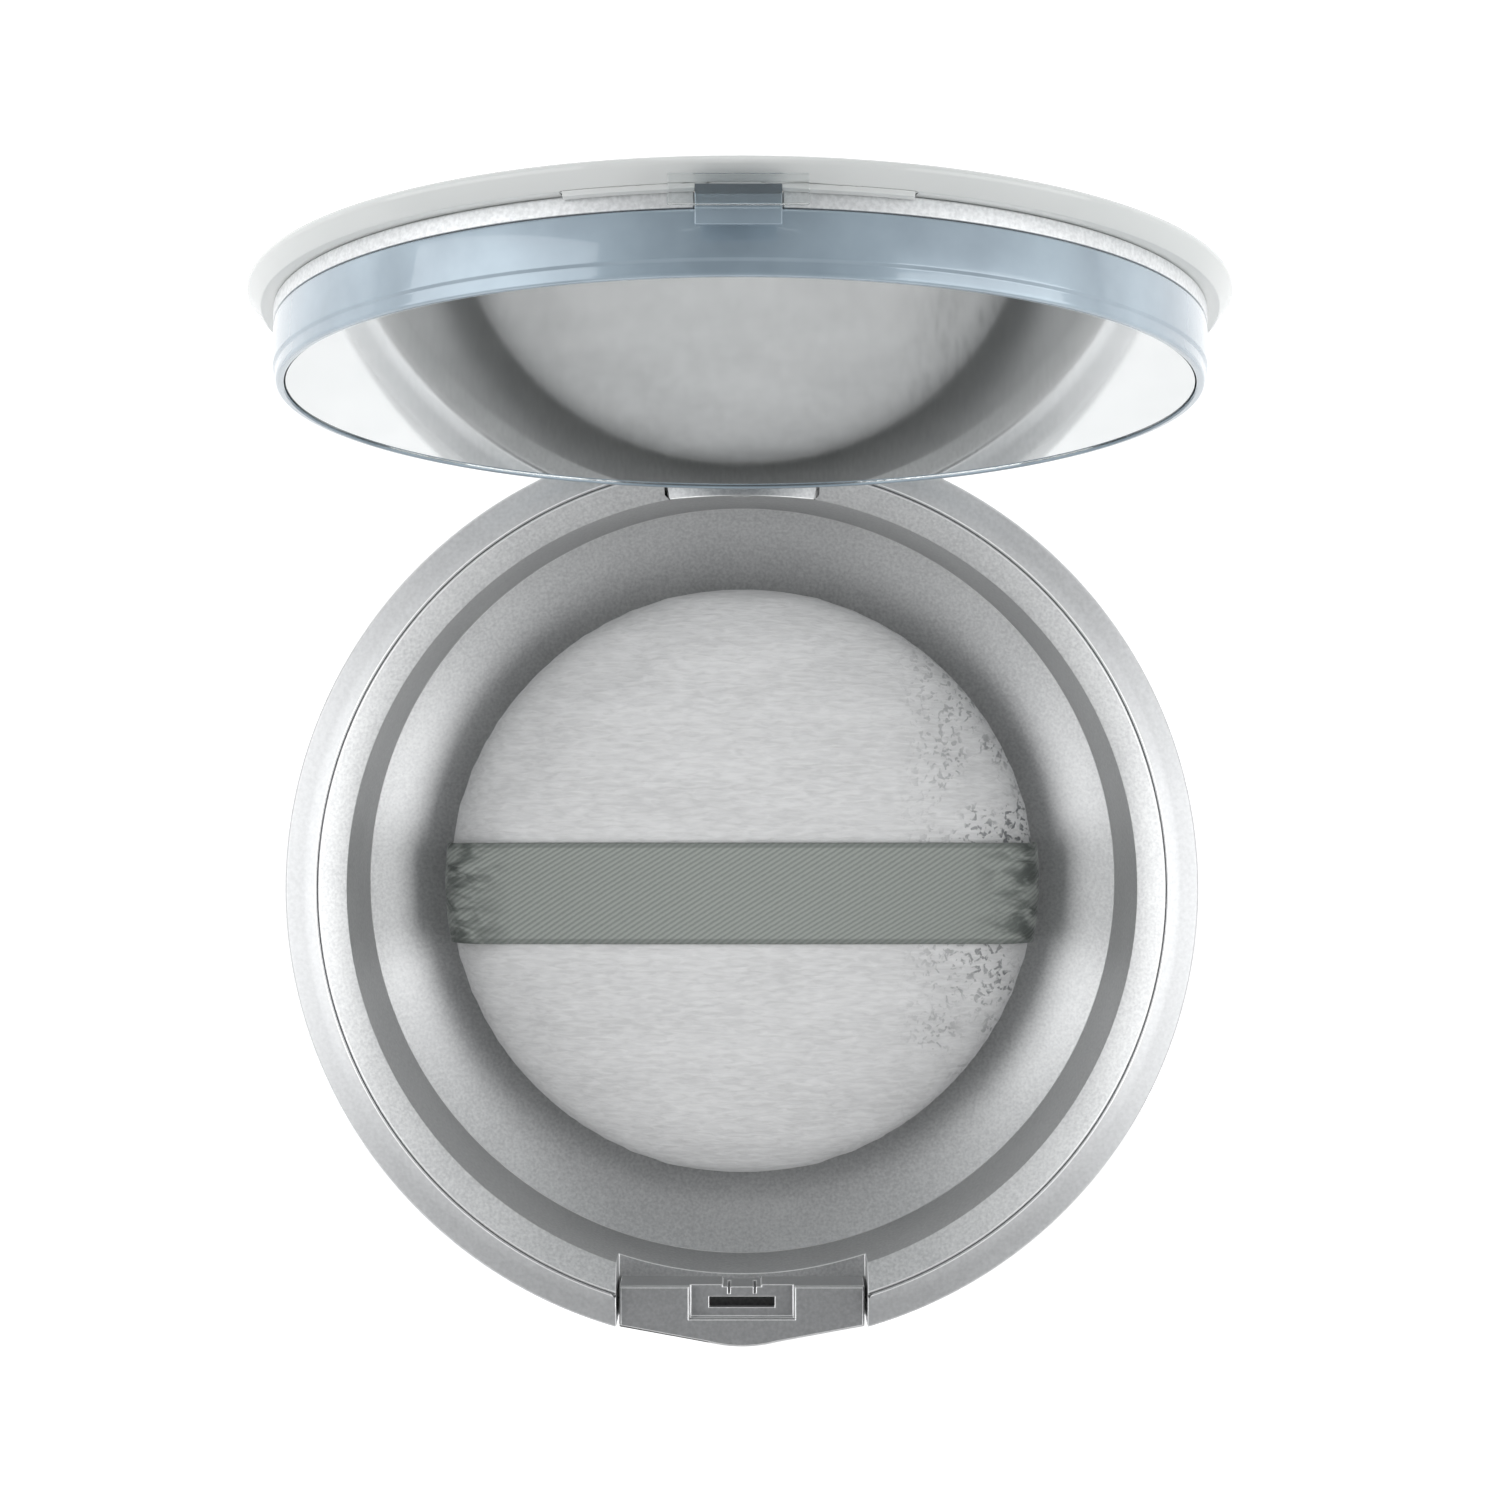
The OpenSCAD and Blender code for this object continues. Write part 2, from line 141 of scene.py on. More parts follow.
def as_object(name, shape):
    """A mesh object of a shape in millimetres, with its faces pointing outwards."""
    points, faces = shape
    mesh = bpy.data.meshes.new(name)
    mesh.from_pydata((np.array(points) * MM).tolist(), [], faces)
    bm = bmesh.new()
    bm.from_mesh(mesh)
    bmesh.ops.recalc_face_normals(bm, faces=bm.faces)
    bm.to_mesh(mesh)
    bm.free()
    obj = bpy.data.objects.new(name, mesh)
    bpy.context.scene.collection.objects.link(obj)
    return obj


def carve(obj, shape, operation="DIFFERENCE"):
    """Cuts a shape out of obj, or joins it on with UNION, or keeps what is common with INTERSECT."""
    tool = as_object("tool", shape) if isinstance(shape, tuple) else shape
    step = obj.modifiers.new("carve", "BOOLEAN")
    step.operation, step.solver, step.object = operation, "EXACT", tool
    bpy.context.view_layer.update()
    made = bpy.data.meshes.new_from_object(obj.evaluated_get(bpy.context.evaluated_depsgraph_get()))
    obj.modifiers.clear()
    made.name, old = obj.name, obj.data
    obj.data = made
    bpy.data.meshes.remove(old)
    bpy.data.objects.remove(tool)
    return obj


def open_up(obj):
    """Turns a piece that was built closed about the hinge, to the tray's open stop."""
    pin = Vector((0, HINGE_Y * MM, HINGE_Z * MM))
    turn = Matrix.Rotation(-OPEN_ANGLE, 4, "X")
    obj.data.transform(Matrix.Translation(pin) @ turn @ Matrix.Translation(-pin))
    return obj


def finished(obj, body, material, nodes=(), sharp=35, ease=0.0, edge=None):
    """Shades obj smooth but for its sharp edges, eases those by a small bevel, which may have its own
    material, and hands the piece to the frame."""
    obj.data.materials.clear()
    obj.data.materials.append(material)
    obj.data.shade_smooth()
    obj.data.set_sharp_from_angle(angle=math.radians(sharp))
    if ease:
        bevel = obj.modifiers.new("eased_edges", "BEVEL")
        bevel.width, bevel.segments, bevel.limit_method = ease * MM, 2, "ANGLE"
        bevel.angle_limit, bevel.harden_normals = math.radians(sharp), True
        bevel.use_clamp_overlap = False
        # the bevel's own material is a brighter lacquer: a painted highlight on the eased edges
        if edge:
            obj.data.materials.append(edge)
            bevel.material = 1
    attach(obj, body)
    if nodes:
        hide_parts(*nodes)
    return obj


def merged_copy(name, node):
    """A copy of a CAD node with its loose triangles merged into whole flat faces."""
    obj = bpy.data.objects.new(name, frame["nodes"][node].data.copy())
    bpy.context.scene.collection.objects.link(obj)
    bm = bmesh.new()
    bm.from_mesh(obj.data)
    bmesh.ops.remove_doubles(bm, verts=bm.verts, dist=1e-7)
    bmesh.ops.dissolve_limit(bm, angle_limit=math.radians(0.5), verts=bm.verts, edges=bm.edges)
    bm.to_mesh(obj.data)
    bm.free()
    for attribute in [a for a in obj.data.attributes if a.name.startswith("custom_normal")]:
        obj.data.attributes.remove(attribute)
    return obj


# ---- materials ----

def colour(hex_code):
    """An sRGB hex colour as the linear RGBA that Blender's nodes take."""
    srgb = np.array([int(hex_code[i:i + 2], 16) for i in (1, 3, 5)]) / 255
    linear = np.where(srgb <= 0.04045, srgb / 12.92, ((srgb + 0.055) / 1.055) ** 2.4)
    return (*linear, 1.0)


def add(tree, kind, inputs=None, **settings):
    """Adds a shader node, sets its properties, and sets or links its inputs by name or number."""
    node = tree.nodes.new("ShaderNode" + kind)
    for name, value in settings.items():
        setattr(node, name, value)
    for key, value in (inputs or {}).items():
        if isinstance(value, bpy.types.NodeSocket):
            tree.links.new(value, node.inputs[key])
        else:
            node.inputs[key].default_value = value
    return node


def ramp(tree, factor, *stops):
    """A colour ramp through (position, hex colour) stops."""
    node = add(tree, "ValToRGB", {"Fac": factor})
    marks = node.color_ramp.elements
    while len(marks) < len(stops):
        marks.new(0.5)
    for mark, (position, hex_code) in zip(marks, stops):
        mark.position, mark.color = position, colour(hex_code)
    return node.outputs["Color"]


def between(tree, factor, low, high):
    """A number that runs from low to high as factor runs from 0 to 1."""
    return add(tree, "MapRange", {"Value": factor, "To Min": low, "To Max": high}).outputs["Result"]


def material(name, **fixed):
    """A material named for what it is, its node tree, its shader and its Object coordinates."""
    mat = bpy.data.materials.new(name)
    mat.use_nodes = True
    tree = mat.node_tree
    shader = tree.nodes["Principled BSDF"]
    for key, value in fixed.items():
        shader.inputs[key.replace("_", " ")].default_value = value
    place = add(tree, "TexCoord").outputs["Object"]
    return mat, tree, shader, place


def per_mm(size):
    """The texture scale that makes one pattern cell this many millimetres wide."""
    return 1 / (size * MM)


def bumped(tree, shader, height, depth_mm, strength=1.0):
    """Feeds a height pattern to the shader's normal, with its real depth in millimetres."""
    bump = add(tree, "Bump", {"Height": height, "Strength": strength, "Distance": depth_mm * MM})
    tree.links.new(bump.outputs["Normal"], shader.inputs["Normal"])


def silver_lacquer(name, dark, light, roughness, flake_mm, sparkle):
    """Moulded ABS sprayed with satin silver lacquer: aluminium flakes in a clear coat give a soft metal
    sheen, with a fine grain of lighter and darker flakes and a slight orange peel."""
    mat, tree, shader, place = material(name, Metallic=0.72, Coat_Weight=0.15, Coat_Roughness=0.25)
    flakes = add(tree, "TexNoise", {"Vector": place, "Scale": per_mm(flake_mm), "Detail": 3.0})
    clouds = add(tree, "TexNoise", {"Vector": place, "Scale": per_mm(9.0), "Detail": 2.0})
    mixed = add(tree, "Mix", {0: 0.25, 2: flakes.outputs["Fac"], 3: clouds.outputs["Fac"]}).outputs[0]
    tint = ramp(tree, mixed, (0.5 - sparkle, dark), (0.5 + sparkle, light))
    tree.links.new(tint, shader.inputs["Base Color"])
    rough = between(tree, flakes.outputs["Fac"], roughness - 0.05, roughness + 0.06)
    tree.links.new(rough, shader.inputs["Roughness"])
    bumped(tree, shader, flakes.outputs["Fac"], 0.004, 0.5)
    return mat


def pearl_blue():
    """Glossy moulded styrene with a blue-grey pearl pigment: smooth, with a clear reflection over a
    faintly cloudy body colour."""
    mat, tree, shader, place = material("pearl_blue_styrene", Metallic=0.25, Roughness=0.2,
                                        Coat_Weight=1.0, Coat_Roughness=0.04)
    clouds = add(tree, "TexNoise", {"Vector": place, "Scale": per_mm(6.0), "Detail": 4.0})
    tree.links.new(ramp(tree, clouds.outputs["Fac"], (0.3, "#8a9aa6"), (0.7, "#9fb0bc")),
                   shader.inputs["Base Color"])
    pearl = add(tree, "TexNoise", {"Vector": place, "Scale": per_mm(0.15), "Detail": 2.0})
    bumped(tree, shader, pearl.outputs["Fac"], 0.004, 0.3)
    return mat


def silvered_mirror():
    """Silvered float glass, seen from the glass side: a clear, slightly dimmed reflection with the
    faintest smears."""
    mat, tree, shader, place = material("silvered_float_glass", Metallic=1.0)
    smears = add(tree, "TexNoise", {"Vector": place, "Scale": per_mm(18.0), "Detail": 5.0, "Distortion": 1.5})
    tree.links.new(ramp(tree, smears.outputs["Fac"], (0.3, "#dcdfdf"), (0.7, "#e4e6e6")),
                   shader.inputs["Base Color"])
    tree.links.new(between(tree, smears.outputs["Fac"], 0.05, 0.08), shader.inputs["Roughness"])
    return mat


def clear_acrylic(name, clearness, dark, light):
    """Injection-moulded clear acrylic: a faint sea-green tint and a slight flow ripple. Polished, it is
    clear; frosted, as round the lid's rim, it lets less through and reads pale grey."""
    mat, tree, shader, place = material(name, IOR=1.49, Transmission_Weight=clearness)
    flow = add(tree, "TexNoise", {"Vector": place, "Scale": per_mm(14.0), "Detail": 1.0})
    tree.links.new(ramp(tree, flow.outputs["Fac"], (0.3, dark), (0.7, light)), shader.inputs["Base Color"])
    tree.links.new(between(tree, flow.outputs["Fac"], 0.0, 0.03), shader.inputs["Roughness"])
    bumped(tree, shader, flow.outputs["Fac"], 0.02, 0.3)
    return mat


def puff_velour():
    """Brushed polyester velour: a short pile that lies along X, so it shows fine lying fibres, a pale
    sheen, and small pits where the pile parts near one edge, their darkness a painted shade."""
    mat, tree, shader, place = material("brushed_polyester_velour", Roughness=0.95, Sheen_Weight=0.45,
                                        Sheen_Roughness=0.5)
    lie = add(tree, "Mapping", {"Vector": place, "Scale": (0.22, 1.0, 1.0)})
    fibres = add(tree, "TexNoise", {"Vector": lie.outputs["Vector"], "Scale": per_mm(0.35), "Detail": 6.0,
                                    "Distortion": 0.6})
    waves = add(tree, "TexNoise", {"Vector": lie.outputs["Vector"], "Scale": per_mm(2.4), "Detail": 3.0})
    nap = add(tree, "Mix", {0: 0.3, 2: fibres.outputs["Fac"], 3: waves.outputs["Fac"]}).outputs[0]
    pale = ramp(tree, nap, (0.36, "#d6d6d6"), (0.5, "#e1e1e1"), (0.64, "#eaeaea"))
    # the pits: small ragged spots, kept only towards +X, where the pile has parted; their dark grey is painted shade
    # in the hollows
    cells = add(tree, "TexNoise", {"Vector": place, "Scale": per_mm(0.6), "Detail": 2.0, "Distortion": 0.6})
    pits = add(tree, "MapRange", {"Value": cells.outputs["Fac"], "From Min": 0.38, "From Max": 0.46})
    across = add(tree, "SeparateXYZ", {"Vector": place}).outputs["X"]
    side = add(tree, "MapRange", {"Value": across, "From Min": 0.5 * PUFF_R * MM,
                                  "From Max": 0.9 * PUFF_R * MM})
    patch = add(tree, "TexNoise", {"Vector": place, "Scale": per_mm(5.0), "Detail": 2.0}).outputs["Fac"]
    patch = add(tree, "MapRange", {"Value": patch, "From Min": 0.4, "From Max": 0.55}).outputs["Result"]
    side = add(tree, "Math", {0: side.outputs["Result"], 1: patch}, operation="MULTIPLY").outputs["Value"]
    shade = add(tree, "Math", {0: 1.0, 1: pits.outputs["Result"]}, operation="SUBTRACT").outputs["Value"]
    shade = add(tree, "Math", {0: shade, 1: side}, operation="MULTIPLY").outputs["Value"]
    # mixes in the painted shade of the pits: dark grey where the pile parts
    mix = add(tree, "Mix", {0: shade, 6: pale, 7: colour("#838587")}, data_type="RGBA")
    tree.links.new(mix.outputs[2], shader.inputs["Base Color"])
    low = add(tree, "Math", {0: nap, 1: shade}, operation="SUBTRACT").outputs["Value"]
    bumped(tree, shader, low, 0.22, 0.5)
    return mat


def cotton_flock(name, dark, light, fibre_mm):
    """Cotton flock or wadding: matt, off-white, with a close tangle of short fibres."""
    mat, tree, shader, place = material(name, Roughness=1.0, Sheen_Weight=0.3)
    tangle = add(tree, "TexNoise", {"Vector": place, "Scale": per_mm(fibre_mm), "Detail": 8.0,
                                    "Distortion": 2.0})
    tint = ramp(tree, tangle.outputs["Fac"], (0.35, dark), (0.65, light))
    tree.links.new(tint, shader.inputs["Base Color"])
    bumped(tree, shader, tangle.outputs["Fac"], 0.3, 0.7)
    return mat


TWILL_MM = 0.4


def ribbon_twill():
    """Woven polyester ribbon: a fine diagonal twill, drawn at 0.4 mm because the real 0.25 mm would not
    show, with tighter, darker selvedges and creased ends whose shade is painted. Its UV map is in millimetres."""
    mat, tree, shader, place = material("woven_polyester_ribbon", Roughness=0.6, Sheen_Weight=0.3)
    uv = add(tree, "UVMap", uv_map="cloth_mm").outputs["UV"]
    turned_uv = add(tree, "Mapping", {"Vector": uv, "Rotation": (0, 0, math.radians(58))}).outputs["Vector"]
    twill = add(tree, "TexWave", {"Vector": turned_uv, "Scale": 2 * math.pi / 20 / TWILL_MM,
                                  "Distortion": 0.5, "Detail": 1.0, "Detail Scale": 3.0})
    threads = add(tree, "TexNoise", {"Vector": uv, "Scale": 1 / 0.3, "Detail": 5.0}).outputs["Fac"]
    fine = add(tree, "Math", {0: threads, 1: 0.45}, operation="MULTIPLY").outputs["Value"]
    height = add(tree, "Math", {0: twill.outputs["Fac"], 1: fine}, operation="ADD").outputs["Value"]
    body = ramp(tree, height, (0.1, "#848a85"), (0.6, "#939893"), (1.0, "#a2a7a2"))
    width = add(tree, "SeparateXYZ", {"Vector": uv}).outputs["Y"]
    edge = add(tree, "Math", {0: width}, operation="ABSOLUTE").outputs["Value"]
    half = 0.5 * (RIBBON_HIGH - RIBBON_LOW)
    edge = add(tree, "MapRange", {"Value": edge, "From Min": half - 0.55, "From Max": half - 0.4})
    share = add(tree, "Math", {0: edge.outputs["Result"], 1: 0.45}, operation="MULTIPLY").outputs["Value"]
    mix = add(tree, "Mix", {0: share, 6: body, 7: colour("#585e5a")}, data_type="RGBA")
    # the creased ends: painted shade, streaks that darken over the last millimetres before the seam, where the
    # ribbon creases
    long = add(tree, "SeparateXYZ", {"Vector": uv}).outputs["X"]
    end = add(tree, "Math", {0: long}, operation="ABSOLUTE").outputs["Value"]
    end = add(tree, "MapRange", {"Value": end, "From Min": 21.0, "From Max": 26.0}).outputs["Result"]
    lean = add(tree, "Mapping", {"Vector": uv, "Scale": (0.45, 1.0, 1.0), "Rotation": (0, 0, 0.5)})
    crease_shade = add(tree, "TexNoise", {"Vector": lean.outputs["Vector"], "Scale": 1 / 1.1, "Detail": 4.0,
                                   "Distortion": 0.8}).outputs["Fac"]
    crease_shade = add(tree, "MapRange", {"Value": crease_shade, "From Min": 0.62, "From Max": 0.38}).outputs["Result"]
    end = add(tree, "Math", {0: end, 1: crease_shade}, operation="MULTIPLY").outputs["Value"]
    mix = add(tree, "Mix", {0: end, 6: mix.outputs[2], 7: colour("#4f5551")}, data_type="RGBA")
    tree.links.new(mix.outputs[2], shader.inputs["Base Color"])
    bumped(tree, shader, height, 0.06, 0.6)
    return mat


def speckled(name, dark, light, grain_mm, depth_mm, sharpness=0.15, **fixed):
    """A plain stuff whose grain of this size shades from dark to light and stands this deep."""
    mat, tree, shader, place = material(name, **fixed)
    grain = add(tree, "TexNoise", {"Vector": place, "Scale": per_mm(grain_mm), "Detail": 5.0}).outputs["Fac"]
    tint = ramp(tree, grain, (0.5 - sharpness, dark), (0.5 + sharpness, light))
    tree.links.new(tint, shader.inputs["Base Color"])
    bumped(tree, shader, grain, depth_mm, 0.5)
    return mat


# Satin silver lacquer on the shell and button, fine grain; a sparklier, slightly darker one in the bowl.
SHELL_SILVER = silver_lacquer("satin_silver_lacquer", "#b9babb", "#c6c7c8", 0.36, 0.35, 0.15)
BOWL_SILVER = silver_lacquer("sparkle_silver_lacquer", "#bebfc0", "#d8d9d9", 0.38, 0.28, 0.15)
BUTTON_SILVER = silver_lacquer("satin_silver_button_lacquer", "#adaeaf", "#bdbebf", 0.36, 0.3, 0.15)
# The eased edges get a near-white lacquer: a painted highlight standing in for the light that the edges catch.
PAINTED_EDGE_HIGHLIGHT = silver_lacquer("painted_edge_highlight_lacquer", "#eeefef", "#fafafa", 0.3, 0.3, 0.15)
PEARL_BLUE = pearl_blue()
MIRROR = silvered_mirror()
LID_ACRYLIC = clear_acrylic("clear_moulded_acrylic", 0.92, "#f1f5f4", "#f6f9f8")
RIM_ACRYLIC = clear_acrylic("frosted_rim_acrylic", 0.15, "#dde0df", "#e4e6e5")
TAB_ACRYLIC = clear_acrylic("thin_clear_moulded_acrylic", 0.98, "#f6f9f8", "#fafcfc")
VELOUR = puff_velour()
FLOCK = cotton_flock("cotton_flock", "#d9d8d5", "#f1f0ee", 0.6)
RIBBON = ribbon_twill()
# White-silver lacquer of the collar: bright, nearly white, satin.
COLLAR_SILVER = speckled("white_silver_lacquer", "#d2d4d5", "#e6e8e9", 0.3, 0.008,
                         Metallic=0.35, Roughness=0.38)
# Drawn aluminium pan: bright and lightly streaked.
PAN_METAL = speckled("drawn_aluminium", "#bfc0c2", "#dadbdc", 0.8, 0.01, Metallic=1.0, Roughness=0.32)
# Pressed face powder: matt and warm, with fine grains.
POWDER = speckled("pressed_face_powder", "#d2ac8e", "#e2c0a4", 0.25, 0.05, Roughness=1.0)
# Spring and pin wire: drawn steel.
STEEL = speckled("drawn_steel_wire", "#8d8f91", "#b3b5b7", 0.1, 0.01, Metallic=1.0, Roughness=0.28)
# Blank label: coated paper.
LABEL = speckled("coated_label_paper", "#eceae6", "#f6f5f2", 0.5, 0.006, Roughness=0.55)
# Mounting tape: closed-cell foam, and the pan's glue: hot-melt, waxy.
TAPE = speckled("closed_cell_foam_tape", "#2d2e30", "#45474a", 0.25, 0.04, Roughness=0.95)
GLUE = speckled("hot_melt_glue", "#c9bd96", "#ddd3b0", 1.5, 0.05, Roughness=0.45)


# ---- the base ----

BULGE_R, BULGE_IN, BULGE_UP = 46.9, BASE_R - 46.9, -3.0  # the shell's side is an arc of this circle
SHELL_T = 1.4
FLOOR = -20.25  # inside floor of the shell; heights here are over the ridge, so they are negative
FOOT = -RIM
WELL_R, WELL_FOOT_R = 34.7, 34.53
DISH_FLAT_R, DISH_FLOOR, DISH_EDGE = 25.0, -19.0, -15.5
LINER_T = 1.2
GAP_HALF, SHELF = 11.0, -6.0  # the release button's gap in the rim
NOTCH_HALF, NOTCH_FLOOR = 6.7, -6.2  # the hinge's notch in the rim
PIN_R, KNUCKLE_R, BORE_R = 0.5, 1.3, 0.55


def side_of_shell(inset, low, high, steps):
    """Points down the shell's bulging side, from high to low, inset from the outside."""
    up = np.linspace(high, low, steps)
    return np.stack([BULGE_IN + np.sqrt((BULGE_R - inset) ** 2 - (up - BULGE_UP) ** 2), up], 1)


def shell_outline():
    """Half section of the outer shell: underside, foot ring, side, rounded flare, then back down inside."""
    return np.concatenate([
        [(0, FOOT + 0.4), (32.6, FOOT + 0.4)], arc((33.2, FOOT + 0.3), 0.3, 180, 270, 4),
        [(34.6, FOOT)], arc((34.5, FOOT + 1.9), 1.9, -90, -28, 8),
        side_of_shell(0, -20.9, -1.6, 60)[::-1],
        arc((BASE_R - 0.37, -1.17), 0.36, -10, 75, 6),
        [(38.4, -0.46), (37.35, -0.1)], arc((37.2, -0.15), 0.15, 80, 180, 5),
        [(37.05, -SHELL_T), (38.5, -2.1)],
        side_of_shell(SHELL_T, -18.6, -3.0, 30),
        [(34.4, FLOOR), (0, FLOOR)],
    ])


def dish(steps=24, grow=0.0):
    """The dished floor: an arc from the flat floor up to the foot of the well's wall."""
    run, rise = WELL_FOOT_R - DISH_FLAT_R, DISH_EDGE - DISH_FLOOR
    radius = (run * run + rise * rise) / (2 * rise)
    edge = math.degrees(math.atan2(DISH_EDGE - DISH_FLOOR - radius, run))
    return arc((DISH_FLAT_R, DISH_FLOOR + radius), radius + grow, -90, edge, steps)


def liner_outline():
    """Half section of the bowl liner: its underside and outside, the ridge, the seat, the well and dish."""
    return np.concatenate([
        [(0, DISH_FLOOR - LINER_T)], dish(12, LINER_T)[:-1],
        [(WELL_FOOT_R + LINER_T, DISH_EDGE), (WELL_R + LINER_T, -2.6), (36.95, -0.9)],
        arc((36.89, -0.14), 0.12, 0, 100, 5),
        arc((34.86, -1.82), 0.16, 140, 180, 4),
        [(34.68, -3.0)], np.stack([np.linspace(34.67, WELL_FOOT_R, 8), np.linspace(-4, DISH_EDGE, 8)], 1),
        dish()[::-1][1:], [(0, DISH_FLOOR)],
    ])


def make_base():
    """The shell and liner are turned, then cut for the button's gap and the hinge's notch."""
    gap = block((-GAP_HALF, -60, RIM + SHELF), (GAP_HALF, -20, RIM + 5))
    notch = block((-NOTCH_HALF, 20, RIM + NOTCH_FLOOR), (NOTCH_HALF, 60, RIM + 5))

    shell = as_object("base_shell_lacquered", turned(shell_outline(), 480, RIM))
    lugs = as_object("lugs", turned([
        (35.82, -7.4), (35.96, -2.66), (37.0, -0.98), (37.0, -0.16), (37.3, -0.3), (38.9, -1.5), (39.2, -3),
        (38.9, -7.4)], 480, RIM))
    carve(lugs, block((-NOTCH_HALF - 3.2, 20, 0), (NOTCH_HALF + 3.2, 60, 60)), "INTERSECT")
    carve(shell, lugs, "UNION")
    carve(shell, notch)
    carve(shell, gap)
    carve(shell, rod(PIN_R, (-9.2, HINGE_Y, HINGE_Z), (9.2, HINGE_Y, HINGE_Z)))
    finished(shell, "base", SHELL_SILVER, ["base_shell"], ease=0.08, edge=PAINTED_EDGE_HIGHLIGHT)

    liner = as_object("bowl_liner_lacquered", turned(liner_outline(), 480, RIM))
    pocket = as_object("pocket", turned([
        (34.9, -7.2), (34.9, -1.95), (36.3, -1.0), (38.3, -1.0), (38.3, -7.2)], 480, RIM))
    carve(pocket, block((-GAP_HALF - 1.2, -60, 0), (GAP_HALF + 1.2, -20, RIM - 1.4)), "INTERSECT")
    carve(liner, pocket, "UNION")
    carve(liner, gap)
    scoop = as_object("scoop", rod(9.9, (0, 20, RIM + 5.9), (0, 50, RIM + 5.9), 240))
    carve(scoop, block((-NOTCH_HALF, 10, 0), (NOTCH_HALF, 60, 60)), "INTERSECT")
    carve(liner, scoop)
    for x in (-7.5, 7.5):  # the posts that the springs bear on
        carve(liner, block((x - 1.5, -36.25, RIM - 6.1), (x + 1.5, -35.75, RIM - 3.5)), "UNION")
    finished(liner, "base", BOWL_SILVER, ["bowl_liner"], ease=0.08, edge=PAINTED_EDGE_HIGHLIGHT)

    button = merged_copy("release_button_lacquered", "release_button")
    finished(button, "button", BUTTON_SILVER, ["release_button"], ease=0.08, edge=PAINTED_EDGE_HIGHLIGHT)


def coil(centre, length, mean_r=0.75, wire_r=0.15, turns=4.5, steps=150, sides=12):
    """A wire on a helix about -Y: its centreline turns evenly while it advances by length, flattening to
    closed end turns, and each ring of points stands square to it."""
    t = np.linspace(0, 1, steps)
    ahead = np.clip((t - 0.12) / 0.76, 0, 1) * (length - 2 * wire_r) + wire_r
    turn = 2 * np.pi * turns * t
    line = np.stack([mean_r * np.cos(turn), -ahead, mean_r * np.sin(turn)], 1)
    along = np.gradient(line, axis=0)
    along /= np.linalg.norm(along, axis=1)[:, None]
    out = np.stack([np.cos(turn), np.zeros(steps), np.sin(turn)], 1)
    up = np.cross(along, out)
    a = np.linspace(0, 2 * np.pi, sides, endpoint=False)[None, :, None]
    rings = line[:, None] + wire_r * (np.cos(a) * out[:, None] + np.sin(a) * up[:, None])
    i, j = np.meshgrid(np.arange(steps - 1), np.arange(sides), indexing="ij")
    j2 = (j + 1) % sides
    faces = np.stack([i * sides + j, (i + 1) * sides + j, (i + 1) * sides + j2, i * sides + j2], -1)
    ends = [list(range(sides)), list(range((steps - 1) * sides, steps * sides))]
    return rings.reshape(-1, 3) + np.array(centre), faces.reshape(-1, 4).tolist() + ends


def make_springs_and_hidden():
    """The coils behind the button, the hinge pin, the blank label, the mirror's tape and the pan's glue."""
    for name in ("spring_left", "spring_right"):
        low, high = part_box(name)
        centre = ((low.x + high.x) / 2 / MM, high.y / MM, (low.z + high.z) / 2 / MM)
        wire = as_object(name + "_coil", coil(centre, (high.y - low.y) / MM))
        finished(wire, "base", STEEL, [name], sharp=60)
    hidden = {"hinge_pin": STEEL, "base_label": LABEL, "mirror_tape": TAPE, "pan_adhesive": GLUE}
    for node, stuff in hidden.items():
        mesh = frame["nodes"][node].data
        mesh.materials.clear()
        mesh.materials.append(stuff)


# ---- the tray and lid, built closed, with heights over the hinge axis ----

